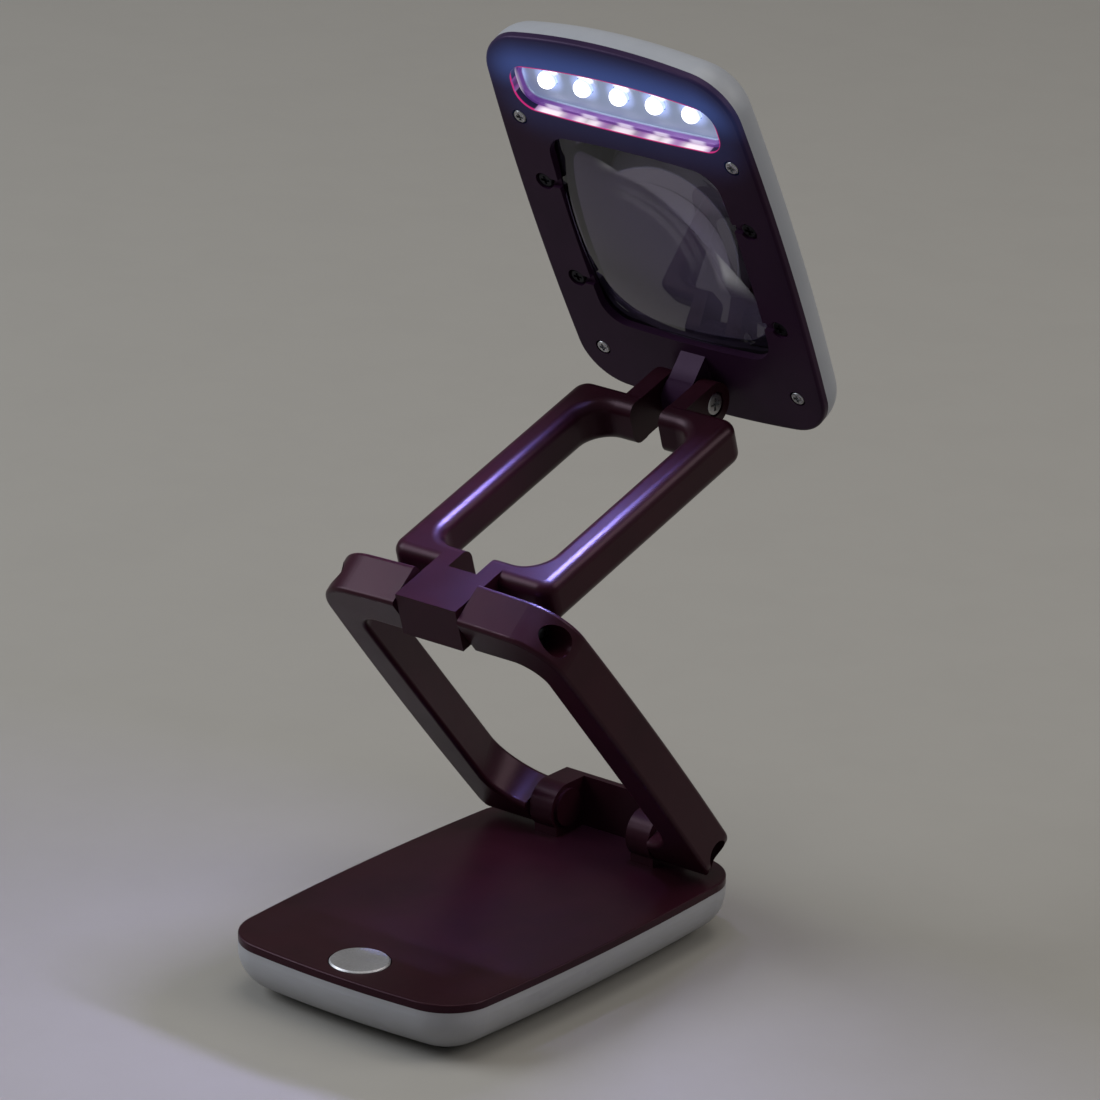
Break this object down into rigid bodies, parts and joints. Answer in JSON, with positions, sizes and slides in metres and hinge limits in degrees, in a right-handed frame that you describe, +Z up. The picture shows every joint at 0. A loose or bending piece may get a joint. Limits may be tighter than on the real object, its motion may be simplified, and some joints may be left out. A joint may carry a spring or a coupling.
{
  "type": "magnifying desk lamp",
  "caption": "Folding battery desk lamp: flat base with a push button, two open folding arms and a tilting head with a row of lights and a rounded square magnifying lens.",
  "frame": {"origin": "on the floor under the middle of the lamp's outer box as it stands open, 19.5 mm behind the middle of the base", "axes": "+Z up; +X along every hinge, to the right of someone who faces the button edge; -Y towards the front edge with the button"},
  "size_m": [0.0836, 0.1643, 0.2405],
  "materials": {
    "dark_shell": "satin",
    "pale_shell": "satin",
    "foot_rubber": "matt",
    "button_metal": "brushed silver",
    "steel": "bright",
    "black_steel": "black oxide",
    "clear_lens": "clear and polished",
    "lamp_resin": "clear, lit from inside",
    "reflector": "bright plated",
    "circuit_board": "solder mask",
    "switch_body": "matt",
    "cell_jacket": "plain jacket",
    "contact_metal": "plated"
  },
  "bodies": {
    "base": {"base_tub": "pale_shell", "base_cover": "dark_shell", "rubber_feet": "foot_rubber", "battery_cells": "cell_jacket", "battery_contacts": "contact_metal", "switch_board": "circuit_board", "push_switch": "switch_body", "case_screws": "steel", "base_hinge_screws": "steel", "base_hinge_washers": "steel"},
    "power_button": {"power_button": "button_metal"},
    "battery_door": {"battery_door": "pale_shell"},
    "lower_arm": {"lower_arm_right": "dark_shell", "lower_arm_left": "dark_shell", "elbow_bolt": "steel", "elbow_nut": "steel"},
    "upper_arm": {"upper_arm_right": "dark_shell", "upper_arm_left": "dark_shell", "elbow_washers": "steel", "neck_bolt": "steel", "neck_nut": "steel"},
    "head": {"head_face": "dark_shell", "head_back": "pale_shell", "magnifier_lens": "clear_lens", "lens_frame": "switch_body", "lens_screws": "black_steel", "head_screws": "steel", "led_reflector": "reflector", "led_board": "circuit_board", "led_lamps": "lamp_resin", "neck_washers": "steel"}
  },
  "joints": [
    {"name": "base_fold", "type": "hinge", "parent": "base", "child": "lower_arm", "pos_m": [0, 0.0307, 0.024], "axis": [1, 0, 0], "range_deg": [-55, 47.5]},
    {"name": "elbow_fold", "type": "hinge", "parent": "lower_arm", "child": "upper_arm", "pos_m": [0, -0.03765, 0.10318], "axis": [-1, 0, 0], "range_deg": [-105, 56]},
    {"name": "head_tilt", "type": "hinge", "parent": "upper_arm", "child": "head", "pos_m": [0, 0.06227, 0.13411], "axis": [1, 0, 0], "range_deg": [-95, 78]},
    {"name": "button_press", "type": "slide", "parent": "base", "child": "power_button", "axis": [0, 0, -1], "range_m": [0, 0.0008], "stiffness_N_per_m": 900},
    {"name": "door_slide", "type": "slide", "parent": "base", "child": "battery_door", "axis": [0, 1, 0], "range_m": [0, 0.012]}
  ]
}
